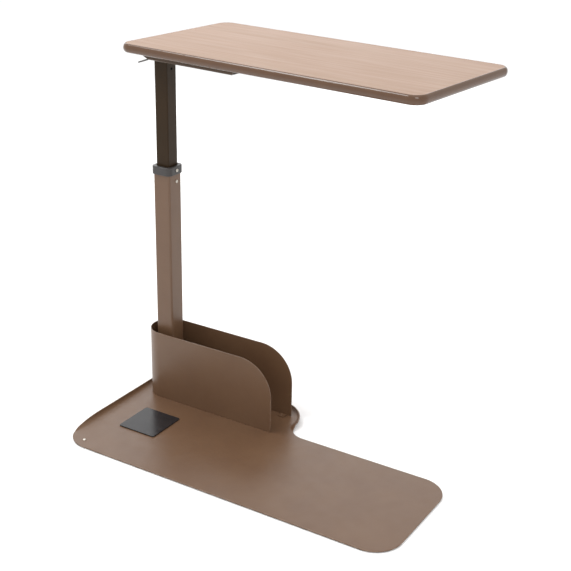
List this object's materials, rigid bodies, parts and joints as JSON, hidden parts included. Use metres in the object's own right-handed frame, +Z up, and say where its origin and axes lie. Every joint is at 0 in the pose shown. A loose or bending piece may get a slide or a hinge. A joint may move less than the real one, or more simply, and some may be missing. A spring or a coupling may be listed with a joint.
{
  "type": "overbed table",
  "caption": "Overbed table for a lift chair: flat sheet-steel base, telescoping square mast with a release lever, foot pocket and a cantilevered swivelling top.",
  "frame": {"origin": "on the floor under the mast's axis, at the middle of the mast's foot pad", "axes": "+Z up; +X along the base's long straight edge, away from the mast's end; -Y towards that long edge, which slides under the chair"},
  "size_m": [0.8513, 0.6115, 0.872],
  "materials": {
    "powder_coat": "semi-gloss brown powder coat",
    "dark_powder_coat": "semi-gloss dark bronze powder coat",
    "grey_plastic": "moulded dark grey plastic, satin",
    "nylon": "natural nylon, satin",
    "rubber": "smooth dark grey rubber, semi-gloss",
    "zinc": "bright zinc plate",
    "dark_steel": "black oxide",
    "laminate": "low-pressure laminate with a walnut grain, satin",
    "edging": "brown moulded edging, semi-gloss",
    "chipboard": "raw chipboard",
    "backing": "brown paper backing sheet"
  },
  "bodies": {
    "base": {"base_plate": "powder_coat", "mast_foot_pad": "rubber", "glide_rivet_1": "zinc", "glide_rivet_2": "zinc", "leg_pad": "rubber", "pocket_shell": "powder_coat", "mast_flange": "dark_steel", "outer_tube": "powder_coat", "collar": "grey_plastic", "collar_screw": "zinc", "guide_screw": "zinc", "upper_bush": "nylon", "lock_rod": "zinc", "lock_rod_nut": "zinc", "glide_1": "nylon", "glide_2": "nylon", "glide_3": "nylon", "glide_4": "nylon", "glide_5": "nylon", "pocket_rivet_1": "powder_coat", "flange_bolt_1": "zinc", "pocket_rivet_2": "powder_coat", "flange_bolt_2": "zinc", "pocket_rivet_3": "powder_coat", "flange_bolt_3": "zinc", "pocket_rivet_4": "powder_coat", "flange_bolt_4": "zinc"},
    "mast": {"inner_tube": "dark_powder_coat", "lower_shoe": "nylon", "lock_housing": "dark_steel", "lock_spring": "zinc", "release_rod_guide": "nylon", "top_plug": "dark_steel", "plug_screw": "dark_steel", "pivot_post": "zinc", "swivel_washer": "nylon", "pivot_washer": "zinc", "pivot_nut": "zinc"},
    "lock_plates": {"lock_plate_lower": "dark_steel", "lock_plate_upper": "dark_steel"},
    "release_rod": {"release_rod": "zinc"},
    "top": {"swivel_bracket": "powder_coat", "lever_pin": "zinc", "top_core": "chipboard", "top_laminate": "laminate", "top_backer": "backing", "edge_band": "edging", "bracket_screw_1": "zinc", "bracket_screw_2": "zinc", "bracket_screw_3": "zinc", "bracket_screw_4": "zinc", "bracket_screw_5": "zinc", "bracket_screw_6": "zinc"},
    "lever": {"release_lever": "dark_steel"}
  },
  "joints": [
    {"name": "mast_lift", "type": "slide", "parent": "base", "child": "mast", "axis": [0, 0, 1], "range_m": [-0.23, 0.03]},
    {"name": "top_swivel", "type": "hinge", "parent": "mast", "child": "top", "pos_m": [0, 0, 0.832], "axis": [0, 0, 1], "continuous": true},
    {"name": "release_lever", "type": "hinge", "parent": "top", "child": "lever", "pos_m": [-0.01693, 0.00155, 0.846], "axis": [0.0913, 0.9958, 0], "range_deg": [0, 8]},
    {"name": "release_rod", "type": "slide", "parent": "mast", "child": "release_rod", "axis": [0, 0, -1], "range_m": [0, 0.0023], "stiffness_N_per_m": 3000, "springref_m": -0.001},
    {"name": "lock_plate_tilt", "type": "hinge", "parent": "mast", "child": "lock_plates", "pos_m": [0.0135, 0, 0.473], "axis": [0, -1, 0], "range_deg": [0, 10.05], "deforming": ["lock_spring"]}
  ],
  "couplings": [
    {"joint": "release_lever", "follows": "release_rod", "rad_per_m": 60.7},
    {"joint": "lock_plate_tilt", "follows": "release_rod", "rad_per_m": 75.9}
  ]
}
